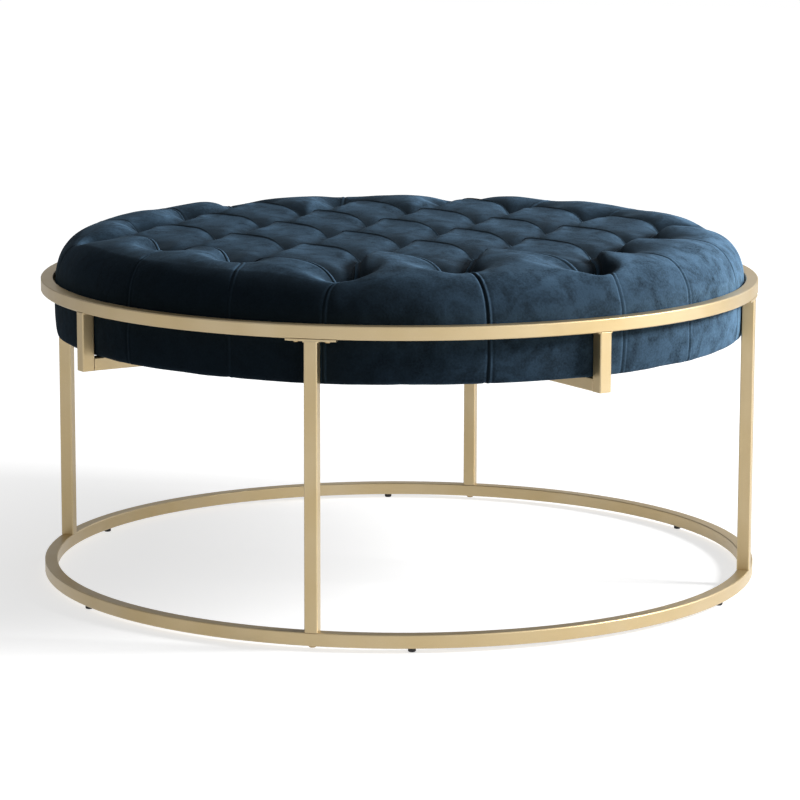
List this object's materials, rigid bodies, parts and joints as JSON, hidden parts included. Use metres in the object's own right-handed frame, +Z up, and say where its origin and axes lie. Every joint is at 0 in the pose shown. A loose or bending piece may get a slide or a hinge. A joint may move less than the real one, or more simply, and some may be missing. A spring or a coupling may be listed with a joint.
{
  "type": "ottoman coffee table",
  "caption": "Round coffee table with a diamond-tufted upholstered seat held inside a metal frame of two square-tube rings joined by upright legs.",
  "frame": {"origin": "on the floor under the middle of the table", "axes": "+Z up from the floor; the four legs stand on the X and Y axes, the hanger posts and cross bars at 45 degrees between them"},
  "size_m": [0.914, 0.914, 0.4416],
  "materials": {
    "frame_gold": "satin champagne gold",
    "fastener_gold": "satin gold plate",
    "steel": "zinc plated",
    "glide_black": "matt black",
    "plywood": "raw plywood",
    "dust_cloth": "black non-woven cloth",
    "foam": "open-cell foam",
    "twine": "waxed twine",
    "velvet": "navy velvet pile"
  },
  "bodies": {
    "root": {"base_ring": "frame_gold", "top_ring": "frame_gold", "leg_right": "frame_gold", "leg_back": "frame_gold", "leg_left": "frame_gold", "leg_front": "frame_gold", "leg_plate_right": "frame_gold", "leg_plate_back": "frame_gold", "leg_plate_left": "frame_gold", "leg_plate_front": "frame_gold", "hanger_post_back_right": "frame_gold", "hanger_post_back_left": "frame_gold", "hanger_post_front_left": "frame_gold", "hanger_post_front_right": "frame_gold", "cross_bar_long": "frame_gold", "cross_bar_back_left": "frame_gold", "cross_bar_front_right": "frame_gold", "leg_bolts": "fastener_gold", "plate_screws": "fastener_gold", "leg_insert_right": "steel", "leg_insert_back": "steel", "leg_insert_left": "steel", "leg_insert_front": "steel", "ring_nuts": "steel", "board_nuts": "steel", "seat_screws": "steel", "floor_glide_1": "glide_black", "floor_glide_2": "glide_black", "floor_glide_3": "glide_black", "floor_glide_4": "glide_black", "floor_glide_5": "glide_black", "floor_glide_6": "glide_black", "seat_board": "plywood", "dust_cover": "dust_cloth", "seat_foam": "foam", "tuft_ties": "twine", "seat_cover": "velvet"}
  },
  "joints": []
}
